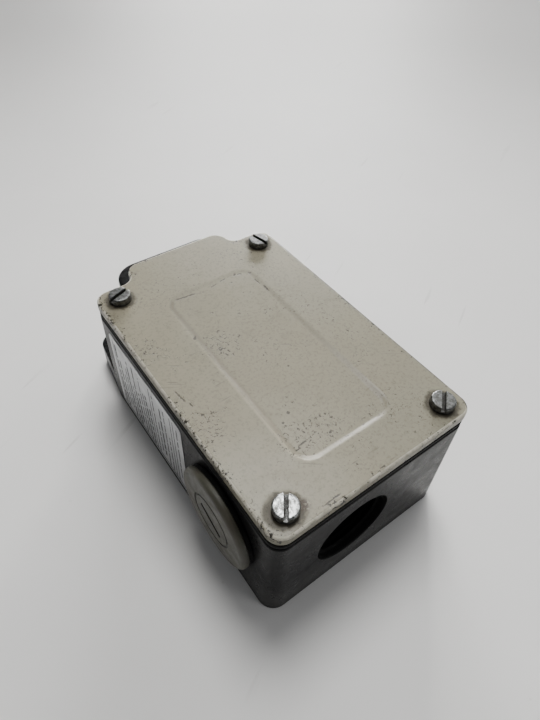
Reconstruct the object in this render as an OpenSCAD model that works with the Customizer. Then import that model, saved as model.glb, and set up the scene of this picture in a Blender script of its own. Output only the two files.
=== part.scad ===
// Metal-enclosed limit switch with a direct plunger, three cable entries and
// a slow-action contact block. +Y points to the actuator end, +Z out through
// the cover, and the origin lies in the mounting face, below the middle of the
// overall length.

/* [Housing] */
// Width across the side walls
body_w = 56; // [55:0.5:58]
// Length from the cable end to the shoulders beside the neck
shoulder_y = 82.3; // [82:0.1:83]
// Length from the cable end to the end face of the neck
neck_y = 95.6; // [95:0.1:97]
// Width of the neck that carries the operating head
neck_w = 36; // [34:0.5:38]
// Length from the cable end to the far edge of the fixing lugs
lug_y = 97; // [96:0.5:99]
// Height of the fixing lugs beside the neck
lug_h = 8.7; // [6:0.1:10]
// Height of the rim that the cover gasket sits on
rim_z = 33.8; // [33:0.1:35]
// Thickness of the side walls
wall_t = 3.5; // [3:0.1:4]
// Thickness of the floor
floor_t = 3.2; // [3:0.1:3.5]
// Radius of the vertical corners at the cable end and the shoulders
corner_r = 4.2; // [3.5:0.1:6]
// Radius of the far corners of the neck
neck_r = 7.5; // [6:0.1:9]
// Width across the far corners of the fixing lugs
lug_tip_w = 52; // [50:0.5:54]
// Angle by which the sides of the fixing lugs lean in (degrees)
lug_lean = 8; // [5:0.5:10]
// Radius of the far corners of the fixing lugs
lug_r = 5; // [4:0.5:6]

/* [Cover] */
// Width of the cover
cover_w = 54.8; // [54:0.1:55]
// Gap from the cable end face to the cover edge
cover_y0 = 0.6; // [0.5:0.1:1]
// Far edge of the cover beside its tab
cover_y1 = 81.5; // [81:0.1:81.8]
// Width of the tab that runs over the neck
tab_w = 31.2; // [30:0.1:33]
// Far edge of the tab
tab_y = 87.9; // [87:0.1:89]
// Height of the cover edge
cover_t = 3.3; // [3:0.1:4]
// Thickness of the rubber gasket under the cover
gasket_t = 1.2; // [1:0.1:1.5]
// Width of the sunken panel
panel_w = 27.2; // [24:0.2:30]
// Depth of the sunken panel
panel_d = 0.6; // [0.3:0.1:0.8]

/* [Fixing] */
// Distance between the two fixing slots in the lugs
lug_pitch = 43.6; // [43:0.1:44]
// Distance between the two fixing holes in the floor
floor_pitch = 30; // [28:0.5:31]
// Distance from the floor holes to the lug slots
fixing_l = 60; // [59:0.5:61]
// Place of the lug slots along the length
lug_hole_y = 89; // [88.5:0.1:90]
// Diameter of the fixing holes and width of the slots
fixing_d = 4.5; // [4.3:0.1:4.8]
// Length of the slots across the width, from end to end
slot_l = 5.5; // [5:0.1:6]

/* [Cable entries] */
// Radius of the threaded cable entries
entry_r = 9.6; // [9.2:0.1:9.8]
// Radius of the countersink at the mouth of an entry
entry_mouth_r = 10.4; // [10:0.1:11]
// Depth of the threaded wall around an entry
entry_l = 9.5; // [8:0.5:10]
// Sideways place of the open entry in the cable end
entry_x = -5; // [-6:0.5:-4]
// Height of the open entry
entry_z = 18; // [17:0.5:18.5]
// Place of the side entries along the length
side_y = 19.8; // [19:0.1:20]
// Height of the side entries
side_z = 19.2; // [18:0.1:19.5]
// Radius of the head of a blanking plug
plug_r = 12.8; // [12:0.1:13]
// Thickness of the head of a blanking plug
plug_t = 2; // [1.8:0.1:3]
// Thickness of the seal under a blanking plug
seal_t = 0.6; // [0.5:0.1:1.5]

/* [Motion] */
// Full stroke of the plunger
stroke = 5; // [4:0.5:5]
// Length of the plunger outside its bush at rest
plunger_out = 5.9; // [5.1:0.1:6]
// Radius of the plunger
plunger_r = 4.5; // [4:0.1:4.5]

/* [Hidden] */
$fn = 48;

eps = 0.01;
// Radial clearance of the running fits and of the static fits
run_gap = 0.05;
slide_gap = 0.3;

cavity_r = 2.5;
// Radius of the wall around each cable entry, and of the posts in the floor
entry_boss_r = 12.5;
block_post_r = 3.4;
floor_post_r = 5.2;
earth_post_r = 4;
// Radius of the hollow fillet beside the neck
neck_fillet = 3;
// Length of lug that runs under the main box
lug_root = 40;

// Bush and plunger along the axis x = 0, z = axis_z
axis_z = 18;
bore_r = 8;
flange_t = 1.5;
flange_r = 9;
bush_y0 = 89.2;
tip_y = neck_y + flange_t + plunger_out;
mid_y = tip_y / 2;
collar_t = 2;
collar_r = 6.4;
collar_y = bush_y0 - 0.1 - collar_t;
spindle_r = 3;
spindle_y = 76.5;
web_y0 = 77;
web_y1 = 79;
oring_y = 93;
oring_r = 0.9;

// Cover screws: centre, and direction that each slot was left in
screw_x = 21.8;
screw_y0 = 5.4;
screw_y1 = 76.3;
cover_screws_at = [
    [-screw_x, screw_y0, 53], [screw_x, screw_y0, 41],
    [-screw_x, screw_y1, 20], [screw_x, screw_y1, -77]
];
screw_r = 1.5;
screw_l = 14;
boss_r = 4;
head_r = 2.8;
head_h = 2;
cover_z = rim_z + gasket_t;
// Radius of the tab's corners, and how far the gasket stays inside the cover's edge
tab_r = 4;
gasket_inset = 0.1;
top_z = cover_z + cover_t;
panel_y0 = 10.2;
panel_y1 = 70.3;
panel_r = 5;

// Type label on the left side
label_y0 = 36.5;
label_z0 = 2.6;
label_l = 38;
label_h = 28.8;
label_r = 1.5;
label_t = 0.25;

// Earth terminal on a post in the floor
earth_x = 13;
earth_y = 17;
earth_z = 12;
earth_r = 2;

// Pad on the neck with the tapped holes of the operating head, above the lugs
pad_w = 28;
pad_z1 = 28;
pad_l = 8;
head_pitch_x = 22;
head_pitch_z = 13;
head_hole_r = 1.65;
head_hole_l = 8;

// Contact block, held on two posts
block_w = 34;
block_y0 = 40;
block_y1 = 76;
block_z0 = 5;
block_z1 = 26;
well_w = 19;
well_y0 = 46;
well_y1 = 70;
block_screw_x = 13.8;
block_screw_y = 58;
block_screw_r = 1.75;
terminal_x = 10;
terminal_y0 = 43;
terminal_y1 = 73;
terminal_hole_r = 1.75;
terminal_screw_r = 1.7;
strip_t = 0.8;
clamp_t = 1;
carrier_w = 6.4;
carrier_y0 = 51.5;
carrier_y1 = 69;
nose_y = spindle_y - 0.1;
nose_h = 8.4;
window_l = 5;
break_window_y = 62.5;
make_window_y = 54;
tip_h = 0.8;
bridge_w = 17.2;
bridge_h = 5.2;
tip_x = 6.6;

// Places a piece that is drawn with its length measured from the cable end
module place() {
    translate([0, -mid_y, 0]) children();
}

// Cylinder along +Y from y0 to y1 on the axis (x, z)
module rod_y(r, y0, y1, x = 0, z = axis_z) {
    translate([x, y0, z]) rotate([-90, 0, 0]) cylinder(r = r, h = y1 - y0);
}

// Cylinder along X between x0 and x1 on the axis (y, z)
module rod_x(r, x0, x1, y, z) {
    translate([x0, y, z]) rotate([0, 90, 0]) cylinder(r = r, h = x1 - x0);
}

module box(x0, x1, y0, y1, z0, z1) {
    translate([x0, y0, z0]) cube([x1 - x0, y1 - y0, z1 - z0]);
}

// Rectangle on the centre line with four round corners
module round_rect(w, y0, y1, r) {
    translate([-w / 2 + r, y0]) square([w - 2 * r, y1 - y0]);
    translate([-w / 2, y0 + r]) square([w, y1 - y0 - 2 * r]);
    for (x = [-w / 2 + r, w / 2 - r], y = [y0 + r, y1 - r])
        translate([x, y]) circle(r);
}

// Rectangle with a narrower tab at its far edge and a hollow fillet each side
module tabbed_rect(w, y0, y1, r, tab, tab_y1, tab_r, fillet) {
    round_rect(w, y0, y1, r);
    round_rect(tab, y1 - 2 * tab_r - 4, tab_y1, tab_r);
    for (side = [-1, 1])
        mirror([side > 0 ? 0 : 1, 0])
            translate([tab / 2, y1])
                difference() {
                    translate([-eps, -eps]) square(fillet + eps);
                    translate([fillet, fillet]) circle(fillet);
                }
}

// Helical spring along +Y from y0 to y1, made of one closed tube
module coil(r, wire, turns, y0, y1, z = axis_z) {
    sides = 8;
    steps = 20;
    rings = turns * steps + 1;
    pitch = (y1 - y0 - 2 * wire) / turns;
    points = [
        for (i = [0 : rings - 1], j = [0 : sides - 1])
            let (a = i * 360 / steps, b = j * 360 / sides, q = r + wire * cos(b))
                [q * cos(a), y0 + wire + pitch * i / steps + wire * sin(b), q * sin(a)]
    ];
    skin = [
        for (i = [0 : rings - 2], j = [0 : sides - 1])
            let (k = (j + 1) % sides)
                [i * sides + j, i * sides + k, (i + 1) * sides + k, (i + 1) * sides + j]
    ];
    first_cap = [for (j = [sides - 1 : -1 : 0]) j];
    last_cap = [for (j = [0 : sides - 1]) (rings - 1) * sides + j];
    translate([0, 0, z]) polyhedron(points, concat(skin, [first_cap, last_cap]));
}

// Slotted cheese head that stands on z, with its shank down to z - shank_l
module slotted_screw(x, y, z, r, h, shank_r, shank_l, turn) {
    slot_w = r * 0.34;
    translate([x, y, z]) {
        difference() {
            cylinder(r = r, h = h);
            rotate([0, 0, turn])
                translate([-r - 1, -slot_w / 2, h * 0.5])
                    cube([2 * r + 2, slot_w, h]);
        }
        translate([0, 0, -shank_l]) cylinder(r = shank_r, h = shank_l + eps);
    }
}

// --- Enclosure -----------------------------------------------------------

// Plate of the fixing lugs: its sides lean in towards round far corners
module lug_outline() {
    corner_x = lug_tip_w / 2 - lug_r;
    edge_x = corner_x + lug_r * cos(lug_lean);
    edge_y = lug_y - lug_r + lug_r * sin(lug_lean);
    wide_y = edge_y - (body_w / 2 - edge_x) / tan(lug_lean);
    for (side = [-1, 1]) {
        polygon([[0, shoulder_y - lug_root], [side * body_w / 2, shoulder_y - lug_root],
            [side * body_w / 2, wide_y], [side * edge_x, edge_y],
            [side * corner_x, lug_y], [0, lug_y]]);
        translate([side * corner_x, lug_y - lug_r]) circle(lug_r);
    }
}

module housing_shell() {
    difference() {
        union() {
            linear_extrude(rim_z)
                tabbed_rect(body_w, 0, shoulder_y, corner_r, neck_w, neck_y, neck_r, neck_fillet);
            linear_extrude(lug_h)
                lug_outline();
            translate([-pad_w / 2, neck_y - pad_l, lug_h - 1])
                cube([pad_w, pad_l, pad_z1 - lug_h + 1]);
        }
        translate([0, 0, floor_t])
            linear_extrude(rim_z)
                round_rect(body_w - 2 * wall_t, wall_t, web_y0, cavity_r);
    }
}

// Walls that stand inside the shell around holes and threads
module housing_bosses() {
    for (s = cover_screws_at)
        translate([s[0], s[1], 1]) cylinder(r = boss_r, h = rim_z - 1);
    rod_y(entry_boss_r, wall_t - 1, entry_l, entry_x, entry_z);
    for (side = [-1, 1]) {
        x_out = body_w / 2 - 1;
        x_in = body_w / 2 - entry_l;
        rod_x(entry_boss_r, min(side * x_in, side * x_out), max(side * x_in, side * x_out),
            side_y, side_z);
        translate([side * block_screw_x, block_screw_y, 1])
            cylinder(r = block_post_r, h = block_z0 - 1);
        translate([side * floor_pitch / 2, lug_hole_y - fixing_l, 1])
            cylinder(r = floor_post_r, h = floor_t + 1);
    }
    translate([earth_x, earth_y, 1]) cylinder(r = earth_post_r, h = earth_z - 1);
}

module housing_holes() {
    for (s = cover_screws_at)
        translate([s[0], s[1], top_z - screw_l - 1]) cylinder(r = screw_r + run_gap, h = 20);
    rod_y(entry_r, -1, entry_l + 1, entry_x, entry_z);
    translate([entry_x, -eps, entry_z]) rotate([-90, 0, 0])
        cylinder(r1 = entry_mouth_r, r2 = entry_r, h = entry_mouth_r - entry_r);
    for (side = [-1, 1]) {
        x_out = body_w / 2 + 1;
        x_in = body_w / 2 - entry_l - 1;
        rod_x(entry_r, min(side * x_in, side * x_out), max(side * x_in, side * x_out), side_y, side_z);
        translate([side * block_screw_x, block_screw_y, 1.5])
            cylinder(r = block_screw_r + run_gap, h = 6);
        translate([side * floor_pitch / 2, lug_hole_y - fixing_l, -1]) cylinder(d = fixing_d, h = 10);
        lug_slot(side * lug_pitch / 2);
        for (z = [-1, 1])
            rod_y(head_hole_r, neck_y - head_hole_l, neck_y + 1,
                side * head_pitch_x / 2, axis_z + z * head_pitch_z / 2);
    }
    translate([earth_x, earth_y, 4]) cylinder(r = earth_r + run_gap, h = 10);
    rod_y(bore_r, web_y1, neck_y + 1);
    rod_y(spindle_r + slide_gap, web_y0 - 1, web_y1 + 1);
}

module lug_slot(at_x) {
    run = slot_l - fixing_d;
    translate([at_x, lug_hole_y, -1]) {
        for (x = [-run / 2, run / 2])
            translate([x, 0, 0]) cylinder(d = fixing_d, h = lug_h + 2);
        translate([-run / 2, -fixing_d / 2, 0]) cube([run, fixing_d, lug_h + 2]);
    }
}

module housing() {
    color([0.06, 0.06, 0.07]) place() difference() {
        union() {
            housing_shell();
            intersection() {
                housing_bosses();
                linear_extrude(rim_z) round_rect(body_w - 1, 0.5, shoulder_y - 0.5, corner_r);
            }
        }
        housing_holes();
    }
}

module cover_outline(inset = 0) {
    tabbed_rect(cover_w - 2 * inset, cover_y0 + inset, cover_y1 - inset, corner_r - 0.5 - inset,
        tab_w - 2 * inset, tab_y - inset, tab_r - inset, neck_fillet);
}

module cover() {
    color([0.78, 0.76, 0.69]) place() translate([0, 0, cover_z]) difference() {
        linear_extrude(cover_t) cover_outline();
        translate([0, 0, cover_t - panel_d])
            linear_extrude(2) round_rect(panel_w, panel_y0, panel_y1, panel_r);
        translate([0, 0, -1])
            linear_extrude(2) round_rect(cover_w - 18, 8, 72, 3);
        for (s = cover_screws_at)
            translate([s[0], s[1], -1]) cylinder(r = screw_r + 0.2, h = cover_t + 2);
    }
}

module cover_gasket() {
    color([0.05, 0.05, 0.05]) place() translate([0, 0, rim_z]) difference() {
        linear_extrude(gasket_t)
            cover_outline(gasket_inset);
        translate([0, 0, -1]) linear_extrude(gasket_t + 2) difference() {
            round_rect(body_w - 2 * wall_t - 1, wall_t + 0.5, web_y0 - 0.5, 2);
            for (s = cover_screws_at) translate([s[0], s[1]]) circle(boss_r);
        }
        for (s = cover_screws_at)
            translate([s[0], s[1], -1]) cylinder(r = screw_r + 0.2, h = gasket_t + 2);
    }
}

module cover_screws() {
    color([0.75, 0.76, 0.77]) place()
        for (s = cover_screws_at)
            slotted_screw(s[0], s[1], top_z, head_r, head_h, screw_r, screw_l, s[2]);
}

module rating_label() {
    color([0.72, 0.73, 0.74]) place()
        translate([-body_w / 2, label_y0 + label_l / 2, label_z0]) rotate([90, 0, -90])
            linear_extrude(label_t) round_rect(label_l, 0, label_h, label_r);
}

// --- Blanking plugs of the side entries ----------------------------------

// Turns a piece drawn along +Z from the wall outwards onto a side entry
module on_side(side) {
    place() translate([side * body_w / 2, side_y, side_z]) rotate([0, side * 90, 0]) children();
}

module blanking_plug(side) {
    edge = 0.8;
    color([0.50, 0.49, 0.45]) on_side(side) difference() {
        union() {
            translate([0, 0, -8]) cylinder(r = entry_r - run_gap, h = 8 + seal_t + eps);
            translate([0, 0, seal_t]) rotate_extrude() {
                square([plug_r, plug_t - edge]);
                square([plug_r - edge, plug_t]);
                translate([plug_r - edge, plug_t - edge]) circle(edge);
            }
        }
        translate([0, 0, -9]) cylinder(r = 7, h = 8);
        translate([0, 0, seal_t + plug_t - 0.3]) rotate_extrude()
            translate([6.3, 0]) square([0.5, 1]);
        translate([-4.2, -0.7, seal_t + plug_t - 0.5]) cube([8.4, 1.4, 1]);
    }
}

module plug_seal(side) {
    color([0.05, 0.05, 0.05]) on_side(side) difference() {
        cylinder(r = plug_r - 0.2, h = seal_t);
        translate([0, 0, -1]) cylinder(r = entry_r, h = seal_t + 2);
    }
}

module left_blanking_plug() {
    blanking_plug(-1);
}

module left_plug_seal() {
    plug_seal(-1);
}

module right_blanking_plug() {
    blanking_plug(1);
}

module right_plug_seal() {
    plug_seal(1);
}

// --- Actuator ------------------------------------------------------------

module plunger() {
    dome_r = 9;
    color([0.70, 0.71, 0.73]) place() union() {
        rod_y(spindle_r, spindle_y, collar_y + 1);
        rod_y(collar_r, collar_y, collar_y + collar_t);
        intersection() {
            rod_y(plunger_r, collar_y, tip_y);
            translate([0, tip_y - dome_r, axis_z]) sphere(r = dome_r);
        }
        rod_y(plunger_r, collar_y, tip_y - dome_r);
    }
}

module plunger_bush() {
    color([0.72, 0.60, 0.32]) place() difference() {
        union() {
            rod_y(bore_r - run_gap, bush_y0, neck_y + eps);
            rod_y(flange_r, neck_y, neck_y + flange_t);
        }
        rod_y(plunger_r + run_gap, bush_y0 - 1, neck_y + flange_t + 1);
        rod_y(plunger_r + 2 * oring_r, oring_y - oring_r - 0.1, oring_y + oring_r + 0.1);
    }
}

module plunger_seal() {
    color([0.08, 0.08, 0.08]) place()
        translate([0, oring_y, axis_z]) rotate([-90, 0, 0]) rotate_extrude()
            translate([plunger_r + run_gap + oring_r * 0.95, 0]) circle(oring_r * 0.9);
}

module plunger_spring() {
    color([0.62, 0.63, 0.65]) place() coil(4.9, 0.4, 3, web_y1, collar_y);
}

// --- Contact block -------------------------------------------------------

module contact_block_base() {
    color([0.16, 0.16, 0.17]) place() difference() {
        box(-block_w / 2, block_w / 2, block_y0, block_y1, block_z0, block_z1);
        box(-well_w / 2, well_w / 2, well_y0, well_y1, 8, block_z1 + 1);
        box(-carrier_w / 2 - slide_gap, carrier_w / 2 + slide_gap, well_y1 - 1, block_y1 + 1,
            axis_z - nose_h / 2 - slide_gap, axis_z + nose_h / 2 + slide_gap);
        rod_y(3, well_y0 - 2.5, well_y0 + 1);
        for (side = [-1, 1]) {
            translate([side * block_screw_x, block_screw_y, 0]) cylinder(r = 1.85, h = 30);
            translate([side * block_screw_x, block_screw_y, 14]) cylinder(r = 3.1, h = 20);
            for (y = [terminal_y0, terminal_y1])
                translate([side * terminal_x, y, 16]) cylinder(r = terminal_hole_r, h = 12);
        }
    }
}

module contact_block_lid() {
    color([0.55, 0.56, 0.54]) place() difference() {
        box(-10.3, 10.3, 47.8, 68, block_z1, block_z1 + 2);
        for (y = [52, 55, 58, 61, 64])
            box(-7, 7, y - 0.5, y + 0.5, block_z1 + 1.4, block_z1 + 3);
    }
}

module contact_carrier() {
    half = carrier_w / 2;
    color([0.62, 0.14, 0.10]) place() difference() {
        union() {
            box(-half, half, carrier_y0, carrier_y1, 12, 24);
            box(-half, half, carrier_y1 - 1, nose_y, axis_z - nose_h / 2, axis_z + nose_h / 2);
        }
        for (y = [break_window_y, make_window_y])
            box(-half - 1, half + 1, y, y + window_l, axis_z - 3, axis_z + 3);
    }
}

// Bridge strip across the carrier with a contact rivet near each end; the
// rivets stand on the side that dir points to
module bridge(y, dir) {
    color([0.76, 0.58, 0.30]) place() union() {
        box(-bridge_w / 2, bridge_w / 2, y, y + strip_t, axis_z - bridge_h / 2, axis_z + bridge_h / 2);
        for (x = [-tip_x, tip_x])
            rod_y(1.5, dir > 0 ? y + strip_t - 0.1 : y - tip_h, dir > 0 ? y + strip_t + tip_h : y + 0.1, x);
    }
}

break_bridge_y = break_window_y + window_l - slide_gap - strip_t;
make_bridge_y = make_window_y + slide_gap;

module break_bridge() {
    bridge(break_bridge_y, 1);
}

module make_bridge() {
    bridge(make_bridge_y, -1);
}

module break_contact_spring() {
    color([0.62, 0.63, 0.65]) place() coil(1.9, 0.25, 4, break_window_y, break_bridge_y);
}

module make_contact_spring() {
    color([0.62, 0.63, 0.65]) place()
        coil(1.9, 0.25, 4, make_bridge_y + strip_t, make_window_y + window_l);
}

module carrier_spring() {
    color([0.62, 0.63, 0.65]) place() coil(2.3, 0.3, 5, well_y0 - 2.5, carrier_y0);
}

// Angled fixed contact: an upright with a rivet that faces the bridge, and a
// lap on top of the block under the clamp. face is the rivet's front, and dir
// is the way from the rivet to the terminal
module terminal(side, face, dir, screw_at) {
    up0 = dir > 0 ? face + tip_h : face - tip_h - strip_t;
    lap0 = dir > 0 ? up0 : screw_at - 3;
    lap1 = dir > 0 ? screw_at + 3 : up0 + strip_t;
    color([0.76, 0.58, 0.30]) place() difference() {
        union() {
            box(side * tip_x - 2.2, side * tip_x + 2.2, up0, up0 + strip_t, 12, block_z1 + strip_t);
            box(min(side * 4.4, side * 13.4), max(side * 4.4, side * 13.4),
                lap0, lap1, block_z1, block_z1 + strip_t);
            rod_y(1.5, min(face, face + dir * (tip_h + 0.1)), max(face, face + dir * (tip_h + 0.1)),
                side * tip_x);
        }
        translate([side * terminal_x, screw_at, block_z1 - 1]) cylinder(r = terminal_hole_r, h = 4);
    }
}

break_face = break_bridge_y + strip_t + tip_h + 0.02;
make_face = make_bridge_y - tip_h - stroke - 0.02;

module break_terminal_left() {
    terminal(-1, break_face, 1, terminal_y1);
}

module break_terminal_right() {
    terminal(1, break_face, 1, terminal_y1);
}

module make_terminal_left() {
    terminal(-1, make_face, -1, terminal_y0);
}

module make_terminal_right() {
    terminal(1, make_face, -1, terminal_y0);
}

module terminal_clamps() {
    z = block_z1 + strip_t;
    color([0.72, 0.73, 0.74]) place()
        for (x = [-terminal_x, terminal_x], y = [terminal_y0, terminal_y1])
            difference() {
                box(x - 3.3, x + 3.3, y - 2.9, y + 2.9, z, z + clamp_t);
                translate([x, y, z - 1]) cylinder(r = terminal_hole_r, h = 4);
            }
}

module terminal_screws() {
    z = block_z1 + strip_t + clamp_t;
    color([0.75, 0.76, 0.77]) place()
        for (x = [-terminal_x, terminal_x], y = [terminal_y0, terminal_y1])
            slotted_screw(x, y, z, 2.8, 2, terminal_screw_r, 9, x * 3 + y);
}

module contact_block_screws() {
    color([0.75, 0.76, 0.77]) place()
        for (x = [-block_screw_x, block_screw_x])
            slotted_screw(x, block_screw_y, 14, 2.9, 2, block_screw_r, 12, x * 2);
}

module earth_clamp() {
    color([0.76, 0.58, 0.30]) place() difference() {
        box(earth_x - 4.3, earth_x + 4.3, earth_y - 3.6, earth_y + 3.6, earth_z, earth_z + clamp_t);
        translate([earth_x, earth_y, earth_z - 1]) cylinder(r = earth_r + run_gap, h = 4);
    }
}

module earth_screw() {
    color([0.75, 0.76, 0.77]) place()
        slotted_screw(earth_x, earth_y, earth_z + clamp_t, 3.4, 2.2, earth_r, 8.5, 30);
}

housing();
cover();
cover_gasket();
cover_screws();
left_blanking_plug();
left_plug_seal();
right_blanking_plug();
right_plug_seal();
rating_label();
plunger();
plunger_bush();
plunger_seal();
plunger_spring();
contact_block_base();
contact_block_lid();
contact_carrier();
carrier_spring();
break_bridge();
make_bridge();
break_contact_spring();
make_contact_spring();
break_terminal_left();
break_terminal_right();
make_terminal_left();
make_terminal_right();
terminal_clamps();
terminal_screws();
contact_block_screws();
earth_clamp();
earth_screw();
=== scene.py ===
"""Looks of a metal-enclosed limit switch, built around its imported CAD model.

Lengths in the shape functions are millimetres in the model's frame; they are turned into metres
when a mesh is made. The camera and lights come first, then the shapes of the pieces, then the
materials and the floor. The build at the end makes every piece and paints it.
"""

import random
from math import cos, degrees, hypot, pi, radians, sin, sqrt, tan

import bmesh
import bpy
from mathutils import Matrix, Vector


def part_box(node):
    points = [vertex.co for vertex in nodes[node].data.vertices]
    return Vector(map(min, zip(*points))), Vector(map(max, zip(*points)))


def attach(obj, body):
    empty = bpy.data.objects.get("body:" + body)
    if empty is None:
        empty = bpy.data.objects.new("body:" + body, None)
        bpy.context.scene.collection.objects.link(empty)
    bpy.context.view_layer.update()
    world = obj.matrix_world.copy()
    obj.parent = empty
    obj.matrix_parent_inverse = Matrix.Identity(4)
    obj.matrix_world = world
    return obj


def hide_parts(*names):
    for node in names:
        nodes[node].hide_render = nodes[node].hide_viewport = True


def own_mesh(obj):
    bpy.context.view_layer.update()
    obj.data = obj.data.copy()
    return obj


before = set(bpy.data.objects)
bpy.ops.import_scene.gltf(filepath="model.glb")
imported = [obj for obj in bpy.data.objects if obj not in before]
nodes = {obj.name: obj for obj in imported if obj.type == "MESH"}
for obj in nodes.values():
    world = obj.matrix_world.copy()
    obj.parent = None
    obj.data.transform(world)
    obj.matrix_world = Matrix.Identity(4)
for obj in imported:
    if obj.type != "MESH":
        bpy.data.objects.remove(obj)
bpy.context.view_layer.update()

MM = 0.001
scene = bpy.context.scene


def box_mm(node):
    """Lowest and highest corner of a CAD node, in millimetres."""
    low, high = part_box(node)
    return low / MM, high / MM


# --- Camera and lights

CAMERA_AT = Vector((-52.7, -78.2, 130.9)) * MM
CAMERA_TARGET = Vector((8.0, -1.1, 20.0)) * MM
CAMERA_ROLL = radians(3.0)
CAMERA_LENS = 26.2


def new_object(name, data):
    thing = bpy.data.objects.new(name, data)
    scene.collection.objects.link(thing)
    return thing


def aimed(at, target):
    """Placement of a camera or light that looks from one point at another."""
    at, target = Vector(at), Vector(target)
    return Matrix.Translation(at) @ (target - at).to_track_quat("-Z", "Y").to_matrix().to_4x4()


def make_camera():
    data = bpy.data.cameras.new("camera")
    data.lens = CAMERA_LENS
    data.sensor_width = 36
    data.clip_start = 0.005
    camera = new_object("camera", data)
    camera.matrix_world = aimed(CAMERA_AT, CAMERA_TARGET) @ Matrix.Rotation(CAMERA_ROLL, 4, "Z")
    scene.camera = camera


def area_light(name, at, target, size, power, colour=(1, 1, 1), spread=180):
    data = bpy.data.lights.new(name, "AREA")
    data.shape = "DISK"
    data.size = size
    data.spread = radians(spread)
    data.energy = power
    data.color = colour
    new_object(name, data).matrix_world = aimed(at, target)


def make_lights():
    warm, day = (1.0, 0.995, 0.975), (1.0, 0.995, 0.98)
    area_light("overhead", (0.17, 0.20, 0.80), (0, 0, 0.02), 0.34, 5.6, warm)
    area_light("right_wall", (0.85, 0.20, 0.45), (0, 0, 0.02), 0.6, 2.6)
    area_light("far_window", (0.587, 0.975, 0.286), (0, 0, 0.03), 0.42, 1.5, day, 60)
    area_light("corner_window", (0.748, 0.708, 0.311), (0, 0, 0.03), 0.15, 0.8, day, 60)
    area_light("fill_near", (0.40, -0.75, 0.68), (0, 0, 0), 0.4, 1.2)
    world = bpy.data.worlds.new("world")
    world.use_nodes = True
    background = world.node_tree.nodes["Background"]
    background.inputs["Color"].default_value = (0.97, 0.98, 1.0, 1)
    background.inputs["Strength"].default_value = 0.20
    scene.world = world


# --- Outlines, in millimetres

ARC_STEPS = 10


def arc(cx, cy, r, start, end, steps=ARC_STEPS):
    """Points on an arc, angles in degrees."""
    angles = [radians(start + (end - start) * i / steps) for i in range(steps + 1)]
    return [(cx + r * cos(a), cy + r * sin(a)) for a in angles]


def round_rect(half, y0, y1, near_r, far_r, inset=0.0):
    """Rectangle centred on x = 0 with round corners, anticlockwise."""
    half, y0, y1 = half - inset, y0 + inset, y1 - inset
    near_r, far_r = max(near_r - inset, 0.05), max(far_r - inset, 0.05)
    return (
        arc(half - near_r, y0 + near_r, near_r, -90, 0)
        + arc(half - far_r, y1 - far_r, far_r, 0, 90)
        + arc(-half + far_r, y1 - far_r, far_r, 90, 180)
        + arc(-half + near_r, y0 + near_r, near_r, 180, 270)
    )


def tabbed_rect(half, y0, y1, r, tab_half, tab_y, tab_r, fillet, inset=0.0):
    """Rectangle with a narrower tab at its far edge and a hollow fillet on each side of the tab."""
    half, y0, y1, r = half - inset, y0 + inset, y1 - inset, r - inset
    tab_half, tab_y, tab_r, hollow = tab_half - inset, tab_y - inset, tab_r - inset, fillet + inset
    right = (
        arc(half - r, y0 + r, r, -90, 0)
        + arc(half - r, y1 - r, r, 0, 90)
        + arc(tab_half + hollow, y1 + hollow, hollow, 270, 180, 6)
        + arc(tab_half - tab_r, tab_y - tab_r, tab_r, 0, 90)
    )
    left = [(-x, y) for x, y in reversed(right)]
    return right + left


def at_z(outline, z):
    return [(x, y, z) for x, y in outline]


def circle(cx, cy, r, steps=48):
    return arc(cx, cy, r, 0, 360, steps)[:-1]


# --- Mesh building

MERGE = 0.0005
OVERCUT = 1.0


def add_piece(bm, name, replaces, sharp, body):
    """Makes a shaded piece of a bmesh in metres; it rides on a body and may replace CAD nodes."""
    mesh = bpy.data.meshes.new(name)
    bm.to_mesh(mesh)
    bm.free()
    mesh.polygons.foreach_set("use_smooth", [True] * len(mesh.polygons))
    mesh.set_sharp_from_angle(angle=radians(sharp))
    piece = new_object(name, mesh)
    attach(piece, body)
    if replaces:
        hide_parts(*replaces)
    return piece


def finish_mesh(bm, name, replaces=(), sharp=35, body="enclosure"):
    """Turns a bmesh in millimetres into a piece, with doubles merged and normals outward."""
    bmesh.ops.remove_doubles(bm, verts=bm.verts, dist=MERGE)
    bmesh.ops.recalc_face_normals(bm, faces=bm.faces)
    bmesh.ops.scale(bm, vec=(MM, MM, MM), verts=bm.verts)
    return add_piece(bm, name, replaces, sharp, body)


def even_normals(piece):
    modifier = piece.modifiers.new("even_normals", "WEIGHTED_NORMAL")
    modifier.keep_sharp = True
    modifier.weight = 80
    return piece


def skin(bm, rings):
    """Joins neighbouring closed rings of equal length by faces; returns the rings' vertices."""
    made = [[bm.verts.new(p) for p in ring] for ring in rings]
    for low, high in zip(made, made[1:]):
        for i in range(len(low)):
            j = (i + 1) % len(low)
            bm.faces.new((low[i], low[j], high[j], high[i]))
    return made


def loft(rings, bm=None):
    """Skins closed rings and closes both ends, in a new bmesh unless one is given."""
    bm = bmesh.new() if bm is None else bm
    made = skin(bm, rings)
    bm.faces.new(list(reversed(made[0])))
    bm.faces.new(made[-1])
    return bm


def fill_between(bm, loops):
    """Fills the flat region between an outer loop and the loops inside it."""
    edges = []
    for loop in loops:
        for a, b in zip(loop, loop[1:] + loop[:1]):
            edges.append(bm.edges.get((a, b)) or bm.edges.new((a, b)))
    bmesh.ops.triangle_fill(bm, use_beauty=True, use_dissolve=False, edges=edges)


def fillet_steps(r, steps=5):
    """Pairs (inset, drop) along a quarter round, from the wall to the flat."""
    return [
        (r * (1 - cos(pi / 2 * i / steps)), r * (1 - sin(pi / 2 * i / steps)))
        for i in range(steps + 1)
    ]


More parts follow.
